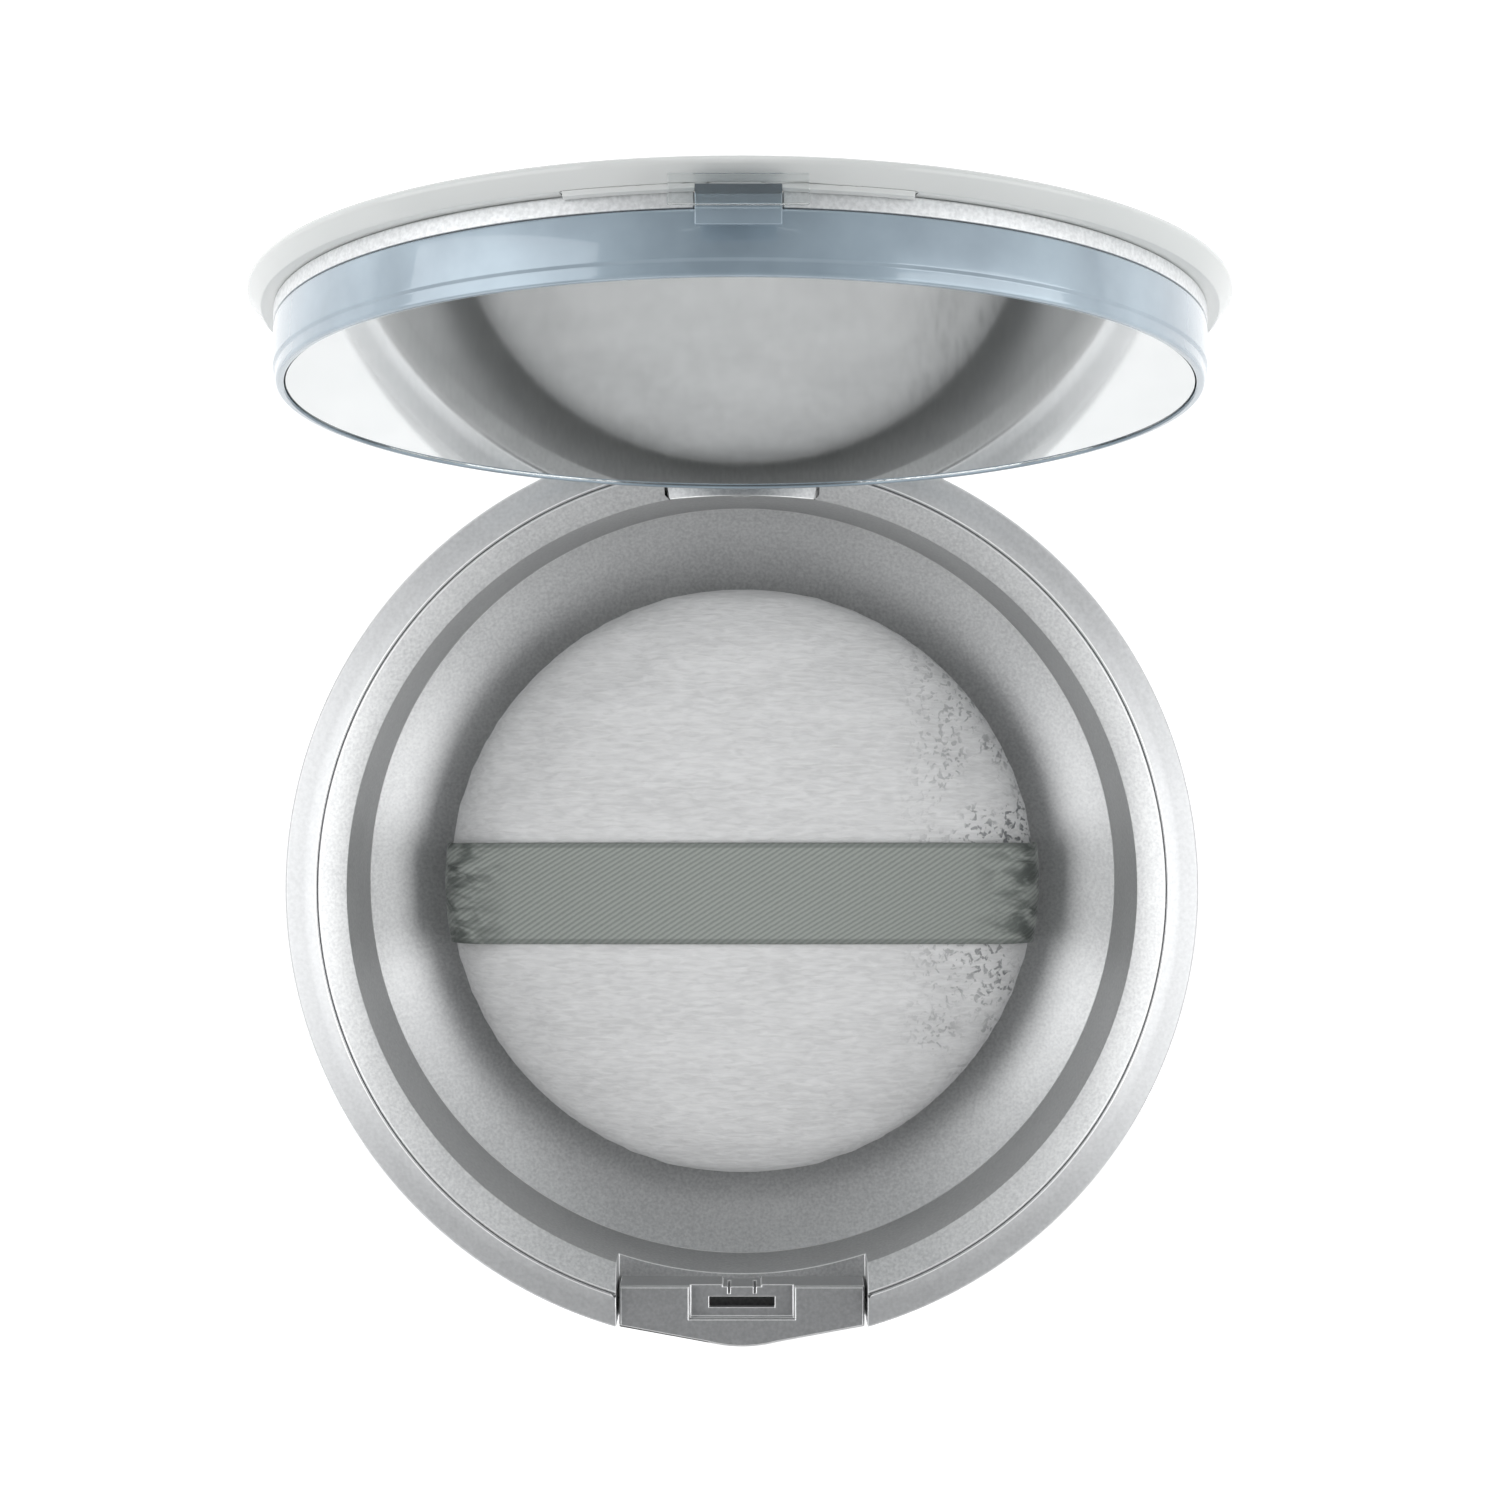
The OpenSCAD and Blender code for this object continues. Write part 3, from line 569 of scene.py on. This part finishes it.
def make_tray():
    """The blue ring with its hinge arms and catch, the mirror, the pan and powder, and the collar."""
    ring = as_object("tray_ring_moulding", turned(np.concatenate([
        [(0, -2.03), (33.0, -2.03)],
        rounded([(33.45, -2.03, 0), (33.45, -3.36, 0.18), (TRAY_R - 0.2, -3.36, 0.3), (TRAY_R - 0.2, -2.47, 0.07),
                 (TRAY_R, -2.27, 0.07), (TRAY_R, 0.91, 0.22), (33.0, 0.91, 0.15), (33.0, -1.23, 0)], 6),
        [(0, -1.23)],
    ]), 480, HINGE_Z))
    for side in (-1, 1):
        near, far = (3.0, 6.2) if side > 0 else (-6.2, -3.0)
        carve(ring, block((near, TRAY_R - 0.8, HINGE_Z - 0.1), (far, HINGE_Y, HINGE_Z + 0.8)), "UNION")
        carve(ring, rod(KNUCKLE_R, (near, HINGE_Y, HINGE_Z), (far, HINGE_Y, HINGE_Z)), "UNION")
    carve(ring, block((-2.7, -36.36, HINGE_Z + 1.1), (2.7, -33.4, HINGE_Z + 1.75)), "UNION")
    carve(ring, block((-2.7, -36.36, HINGE_Z - 0.75), (2.7, -36.02, HINGE_Z + 1.75)), "UNION")
    carve(ring, block((-2.7, -34.25, HINGE_Z + 0.2), (2.7, -33.4, HINGE_Z + 1.75)), "UNION")
    carve(ring, rod(BORE_R, (-9, HINGE_Y, HINGE_Z), (9, HINGE_Y, HINGE_Z)))
    finished(open_up(ring), "tray", PEARL_BLUE, ["tray_ring"], ease=0.08)

    mirror = as_object("mirror_plate", turned(np.concatenate([
        [(0, -3.28)], rounded([(MIRROR_R, -3.28, 0.12), (MIRROR_R, -2.18, 0.08)], 3), [(0, -2.18)]]), 480, HINGE_Z))
    finished(open_up(mirror), "tray", MIRROR, ["tray_mirror"], sharp=25)

    pan = as_object("powder_pan_pressing", turned(np.concatenate([
        [(0, -1.13)], rounded([(PAN_R, -1.13, 0.35), (PAN_R, 0.82, 0.15), (PAN_R - 0.4, 0.82, 0.15),
                               (PAN_R - 0.4, -0.73, 0.1)], 4), [(0, -0.73)]]), 360, HINGE_Z))
    finished(open_up(pan), "tray", PAN_METAL, ["powder_pan"])

    finished(open_up(as_object("pressed_powder_cake", powder_shape(PAN_R - 0.45))), "tray", POWDER,
             ["pressed_powder"], sharp=50)

    collar = as_object("tray_collar_lacquered", turned(rounded([
        (PAN_R - 0.9, 0.96, 0.05), (TRAY_R, 0.96, 0.08), (TRAY_R, 2.14, 0.14), (PAN_R + 0.3, 2.14, 0.1),
        (PAN_R - 0.9, 1.44, 0.1)], 4), 480, HINGE_Z))
    carve(collar, block((-2.8, -60, HINGE_Z), (2.8, -TRAY_R + 1, HINGE_Z + 4)))
    spigot = as_object("spigot", turned([(32.4, -0.29), (32.95, -0.29), (32.95, 1.2), (32.4, 1.2)], 480, HINGE_Z))
    carve(collar, spigot, "UNION")
    finished(open_up(collar), "tray", COLLAR_SILVER, ["tray_collar"], ease=0.05)


def powder_shape(radius):
    """Pressed powder: a low crown over a flat back, with two pressed rings and a ring of shallow petals,
    height = crown - radius squared term - rings + petals."""
    steps, rows = 360, 90
    r = np.concatenate([np.linspace(0.5, radius - 0.5, rows), [radius - 0.2, radius]])
    angle = np.linspace(0, 2 * np.pi, steps, endpoint=False)[:, None]
    top = 1.30 - 0.28 * (r / radius) ** 2
    top = top - 0.16 * np.exp(-((r - 24) / 0.45) ** 2) - 0.16 * np.exp(-((r - 9) / 0.45) ** 2)
    petals = 0.06 * np.cos(12 * angle) * np.exp(-((r - 16.5) / 3.2) ** 2)
    height = top + petals
    height[:, -2] -= 0.06
    height[:, -1] -= 0.2
    flat = np.full((steps, 1), -0.73)
    up = np.concatenate([height, flat], 1) + HINGE_Z
    out = np.concatenate([r, [radius]])
    points = np.stack([out * np.cos(angle), out * np.sin(angle), up], -1)
    n = points.shape[1]
    i, j = np.meshgrid(np.arange(steps), np.arange(n - 1), indexing="ij")
    i2 = (i + 1) % steps
    faces = np.stack([i * n + j, i2 * n + j, i2 * n + j + 1, i * n + j + 1], -1).reshape(-1, 4).tolist()
    k = np.arange(steps)
    k2 = (k + 1) % steps
    faces += np.stack([k2 * n, k * n, np.full(steps, steps * n)], -1).tolist()
    faces += np.stack([k * n + n - 1, k2 * n + n - 1, np.full(steps, steps * n + 1)], -1).tolist()
    poles = [[0, 0, HINGE_Z + 1.30], [0, 0, HINGE_Z - 0.73]]
    return np.concatenate([points.reshape(-1, 3), poles]), faces


LID_LIP, LID_EDGE, DOME_RISE, LID_T = 2.2, 3.2, 2.7, 1.3


def lid_outline():
    """Half section of the clear lid: the dome, the rounded rim with its conical underside, and the inside."""
    dome_r = ((LID_R - 0.3) ** 2 + DOME_RISE**2) / (2 * DOME_RISE)
    top = LID_EDGE + 0.55 + DOME_RISE
    out = np.linspace(0, LID_R - 0.42, 60)
    back = np.linspace(LID_R - 2.8, 0, 50)
    return np.concatenate([
        np.stack([out, top - dome_r + np.sqrt(dome_r**2 - out**2)], 1),
        arc((LID_R - 0.37, LID_EDGE + 0.17), 0.37, 78, -42, 10),
        rounded([(LID_R - 0.6, LID_EDGE - 0.62, 0), (LID_R - 1, LID_LIP, 0.06), (LID_R - 2.8, LID_LIP, 0.12)], 4),
        np.stack([back, top - dome_r + np.sqrt((dome_r - LID_T) ** 2 - back**2)], 1),
    ])


def make_lid():
    """The clear lid with its deeper front lip, thumb tab and hinge leaf, all one moulding. The rim that
    covers the collar is frosted."""
    lid = as_object("clear_lid_moulding", turned(lid_outline(), 480, HINGE_Z))
    lip = as_object("lip", turned([(LID_R - 1.78, LID_LIP - 0.33), (LID_R - 1.02, LID_LIP - 0.33),
                                   (LID_R - 1.02, LID_LIP + 0.2), (LID_R - 1.78, LID_LIP + 0.2)], 480, HINGE_Z))
    carve(lip, block((-11.05, -60, 0), (11.05, -20, 60)), "INTERSECT")
    carve(lid, lip, "UNION")
    tab = as_object("clear_thumb_tab", block((-4.375, -37.0, HINGE_Z + 0.3), (4.375, -36.6, HINGE_Z + 2.3)))
    finished(open_up(tab), "lid", TAB_ACRYLIC, ease=0.12)
    carve(lid, block((-2.7, LID_R - 1.6, HINGE_Z + 2.2), (2.7, LID_R + 1.3, HINGE_Z + 3.0)), "UNION")
    carve(lid, block((-2.7, HINGE_Y - 1.1, HINGE_Z), (2.7, HINGE_Y - 0.1, HINGE_Z + 3.0)), "UNION")
    carve(lid, rod(KNUCKLE_R, (-2.7, HINGE_Y, HINGE_Z), (2.7, HINGE_Y, HINGE_Z)), "UNION")
    carve(lid, rod(BORE_R, (-9, HINGE_Y, HINGE_Z), (9, HINGE_Y, HINGE_Z)))
    frosted = [np.hypot(*face.center[:2]) > (LID_R - 3.0) * MM for face in lid.data.polygons]
    finished(open_up(lid), "lid", LID_ACRYLIC, ["lid_window"], ease=0.06)
    lid.data.materials.append(RIM_ACRYLIC)
    lid.data.polygons.foreach_set("material_index", np.array(frosted, np.int32))


# ---- the puff ----

SEAM = 0.42  # the seam's height as a share of the puff's


def cushion_outline(radius, low, high, round_r):
    """Half section of a flat cushion with round edges."""
    return np.concatenate([
        [(0, low), (radius * 0.5, low)], arc((radius - round_r, low + round_r), round_r, -90, 0, 10),
        arc((radius - round_r, high - round_r), round_r, 0, 90, 10), [(radius * 0.5, high), (0, high)],
    ])


def simulated(obj, scale=10.0):
    """Fills obj like a stuffed pad: it is remeshed, blown up a little as cloth at a larger scale, where the
    solver is steady, and brought back, with each point's move capped."""
    obj.data.transform(Matrix.Scale(scale, 4))
    remesh = obj.modifiers.new("remesh", "REMESH")
    remesh.mode, remesh.voxel_size = "VOXEL", 0.011
    dg = bpy.context.evaluated_depsgraph_get()
    obj.data = bpy.data.meshes.new_from_object(obj.evaluated_get(dg))
    obj.modifiers.clear()
    start = np.array([v.co for v in obj.data.vertices])
    cloth = obj.modifiers.new("cloth", "CLOTH")
    cloth.settings.use_pressure = True
    cloth.settings.uniform_pressure_force = 4
    cloth.settings.effector_weights.gravity = 0
    cloth.point_cache.frame_start, cloth.point_cache.frame_end = 1, 20
    for step in range(1, 21):
        bpy.context.scene.frame_set(step)
    dg = bpy.context.evaluated_depsgraph_get()
    end = np.array([v.co for v in obj.evaluated_get(dg).data.vertices])
    obj.modifiers.clear()
    bpy.context.scene.frame_set(1)
    move = end - start
    length = np.linalg.norm(move, axis=1, keepdims=True)
    move *= np.minimum(1, 1.2 * MM * scale / np.maximum(length, 1e-9))
    obj.data.vertices.foreach_set("co", ((start + move) / scale).astype(np.float32).ravel())
    obj.data.update()
    return obj


def fitted(obj, radius, low, high):
    """Scales a simulated pad to the puff's real radius and heights, and flattens what it rests on."""
    co = np.array([v.co for v in obj.data.vertices]) / MM
    across = np.linalg.norm(co[:, :2], axis=1).max()
    co[:, :2] *= radius / across
    bottom, top = co[:, 2].min(), co[:, 2].max()
    co[:, 2] = low - 0.25 + (co[:, 2] - bottom) * (high - low + 0.25) / (top - bottom)
    co[:, 2] = np.maximum(co[:, 2], low)
    obj.data.vertices.foreach_set("co", (co * MM).astype(np.float32).ravel())
    obj.data.update()


def pinched(obj, seam_z, depth, reach):
    """Draws the pad in along its seam: each point moves towards the axis by depth times a bell curve of
    its height over the seam, with a slight pull at every stitch."""
    co = np.array([v.co for v in obj.data.vertices]) / MM
    r = np.maximum(np.linalg.norm(co[:, :2], axis=1), 1e-6)
    angle = np.arctan2(co[:, 1], co[:, 0])
    near = np.exp(-((co[:, 2] - seam_z) / reach) ** 2) * np.clip((r - 0.8 * PUFF_R) / (0.2 * PUFF_R), 0, 1)
    pull = depth * near * (1 + 0.25 * np.cos(60 * angle))
    co[:, :2] *= ((r - pull) / r)[:, None]
    obj.data.vertices.foreach_set("co", (co * MM).astype(np.float32).ravel())
    obj.data.update()


def half_of(obj, name, height, keep_top):
    """A closed half of obj, above or below a level cut."""
    half = bpy.data.objects.new(name, obj.data.copy())
    bpy.context.scene.collection.objects.link(half)
    bm = bmesh.new()
    bm.from_mesh(half.data)
    cut = bmesh.ops.bisect_plane(bm, geom=bm.verts[:] + bm.edges[:] + bm.faces[:], plane_co=(0, 0, height * MM),
                                 plane_no=(0, 0, 1), clear_inner=keep_top, clear_outer=not keep_top)
    rim = [e for e in cut["geom_cut"] if isinstance(e, bmesh.types.BMEdge)]
    bmesh.ops.poke(bm, faces=bmesh.ops.contextual_create(bm, geom=rim)["faces"])
    bmesh.ops.recalc_face_normals(bm, faces=bm.faces)
    bm.to_mesh(half.data)
    bm.free()
    return half


def make_puff():
    """A stuffed pad, split at its seam into the velour grip face and the flocked powder face."""
    height = PUFF_TOP - PUFF_LOW
    pad = as_object("pad", turned(cushion_outline(PUFF_R - 0.9, 0.4, height - 0.4, 2.3), 240, 0))
    simulated(pad)
    finer = pad.modifiers.new("soft_curve", "SUBSURF")
    finer.levels = finer.render_levels = 1
    dg = bpy.context.evaluated_depsgraph_get()
    pad.data = bpy.data.meshes.new_from_object(pad.evaluated_get(dg))
    pad.modifiers.clear()
    fitted(pad, PUFF_R - 0.02, PUFF_LOW, PUFF_TOP)
    seam = PUFF_LOW + SEAM * height
    pinched(pad, seam, 0.55, 0.55)
    grip = half_of(pad, "puff_velour_face", seam + 0.02, True)
    powder_side = half_of(pad, "puff_flocked_face", seam - 0.02, False)
    bpy.data.objects.remove(pad)
    finished(grip, "puff", VELOUR, ["puff_grip_face", "puff_core"], sharp=80)
    finished(powder_side, "puff", FLOCK, ["puff_powder_face"], sharp=80)


def make_ribbon():
    """The finger ribbon: point (s, y) runs up one side of the puff, over a round shoulder, across the top in a
    slight arch, and down the other side. It is creased near its ends, where it is sewn into the seam."""
    height = PUFF_TOP - PUFF_LOW
    seam = PUFF_LOW + SEAM * height
    middle, half = (RIBBON_LOW + RIBBON_HIGH) / 2, (RIBBON_HIGH - RIBBON_LOW) / 2
    shoulder, stand = 2.3, 0.16
    top = PUFF_TOP + stand
    turn = np.radians(np.linspace(0, 90, 12))
    rise = np.linspace(seam, top - shoulder, 8)[:-1]
    inset = np.concatenate([np.zeros(7), shoulder * (1 - np.cos(turn)), np.linspace(shoulder, PUFF_R, 90)[1:]])
    level = np.concatenate([rise, top - shoulder + shoulder * np.sin(turn), np.full(89, top)])
    level[-89:] += 0.12 * np.sin(np.linspace(0, np.pi / 2, 89))
    length = np.concatenate([[0], np.cumsum(np.hypot(np.diff(inset), np.diff(level)))])
    inset = np.concatenate([inset, inset[-2::-1]])
    level = np.concatenate([level, level[-2::-1]])
    sign = np.concatenate([-np.ones(len(length)), np.ones(len(length) - 1)])
    along = np.concatenate([length, 2 * length[-1] - length[-2::-1]])
    across = np.linspace(-half, half, 41)
    y = middle + across[None, :] * (1 - 0.02 * np.exp(-inset / 3))[:, None]
    edge = np.sqrt((PUFF_R + stand) ** 2 - y**2)
    share = np.clip(inset / PUFF_R, 0, 1)[:, None]
    x = sign[:, None] * (edge - inset[:, None] * (1 + share * (edge / PUFF_R - 1)))
    x = np.where(share >= 1, 0, x)
    end = np.exp(-(inset / 4.5) ** 2)[:, None] * np.clip(inset / 1.2, 0, 1)[:, None]
    fold = np.sin(across[None, :] * 2.1 + inset[:, None] * 0.9)
    fold = fold + 0.6 * np.sin(across[None, :] * 4.7 - inset[:, None] * 1.3)
    z = level[:, None] + 0.14 * end * (fold + 0.8)
    rows, cols = z.shape
    points = np.stack([x, np.broadcast_to(y, z.shape), z], -1).reshape(-1, 3)
    i, j = np.meshgrid(np.arange(rows - 1), np.arange(cols - 1), indexing="ij")
    faces = np.stack([i * cols + j, (i + 1) * cols + j, (i + 1) * cols + j + 1, i * cols + j + 1], -1).reshape(-1, 4)
    mesh = bpy.data.meshes.new("puff_ribbon_woven")
    mesh.from_pydata((points * MM).tolist(), [], faces.tolist())
    uv = np.stack([np.broadcast_to((along - along.max() / 2)[:, None], z.shape), np.broadcast_to(across, z.shape)], -1).reshape(-1, 2)
    layer = mesh.uv_layers.new(name="cloth_mm")
    corner = np.zeros(len(mesh.loops), int)
    mesh.loops.foreach_get("vertex_index", corner)
    layer.data.foreach_set("uv", uv[corner].astype(np.float32).ravel())
    ribbon = bpy.data.objects.new("puff_ribbon_woven", mesh)
    bpy.context.scene.collection.objects.link(ribbon)
    thick = ribbon.modifiers.new("cloth_thickness", "SOLIDIFY")
    thick.thickness, thick.offset = 0.22 * MM, 0
    # the ribbon is narrower than 10 mm and is not declared as a sheet
    finished(ribbon, "puff", RIBBON, ["puff_ribbon"], sharp=80)


# ---- surroundings ----

def make_studio():
    """A plain white table that glows faintly as painted light, large soft lights at the sides, and a camera that
    looks straight down.
    """
    world = bpy.data.worlds.new("soft_room")
    world.use_nodes = True
    bpy.context.scene.world = world
    # the room is bright to the left and right, and dimmer overhead, in front and behind
    room = world.node_tree
    way = add(room, "SeparateXYZ", {"Vector": add(room, "TexCoord").outputs["Generated"]}).outputs
    glow = ramp(room, way["Z"], (0.0, "#ffffff"), (0.6, "#f6f7f8"), (0.95, "#9a9b9d"))
    across = add(room, "Math", {0: way["X"], 1: way["X"]}, operation="MULTIPLY").outputs["Value"]
    back = room.nodes["Background"]
    room.links.new(glow, back.inputs["Color"])
    room.links.new(add(room, "MapRange", {"Value": across, "From Max": 0.5, "To Min": 0.52, "To Max": 1.12}
                       ).outputs["Result"], back.inputs["Strength"])
    for name, place, size, energy in (
        ("left_softbox", (-0.55, 0.0, 0.4), 0.6, 1.65),
        ("right_softbox", (0.55, -0.05, 0.4), 0.55, 1.55),
        ("rear_fill", (0.0, 0.6, 0.5), 0.4, 0.5),
    ):
        light = bpy.data.lights.new(name, "AREA")
        light.size, light.energy = size, energy
        lamp = bpy.data.objects.new(name, light)
        lamp.location = place
        lamp.rotation_euler = (Vector((0, 0, 0.02)) - Vector(place)).to_track_quat("-Z", "Y").to_euler()
        bpy.context.scene.collection.objects.link(lamp)

    table = as_object("table_top", block((-900, -900, -6), (900, 900, 0)))
    # the card glows faintly (emission 0.35): painted light that keeps it pure white and lights the piece a little
    # from below
    card, tree, shader, place = material("white_studio_card_painted_glow", Roughness=0.8, Emission_Strength=0.35)
    grain = add(tree, "TexNoise", {"Vector": place, "Scale": per_mm(2.0), "Detail": 0.0}).outputs["Fac"]
    tree.links.new(ramp(tree, grain, (0.3, "#fafafa"), (0.7, "#fdfdfd")), shader.inputs["Base Color"])
    table.data.materials.append(card)

    camera = bpy.data.cameras.new("camera")
    camera.sensor_width, camera.lens = 36, 67.2
    camera.clip_start, camera.clip_end = 0.01, 10
    view = bpy.data.objects.new("camera", camera)
    view.location = (0.71 * MM, 12.12 * MM, (RIM + 244.2) * MM)
    bpy.context.scene.collection.objects.link(view)
    bpy.context.scene.camera = view
    bpy.context.scene.view_settings.view_transform = "Standard"


make_base()
make_springs_and_hidden()
make_tray()
make_lid()
make_puff()
make_ribbon()
make_studio()
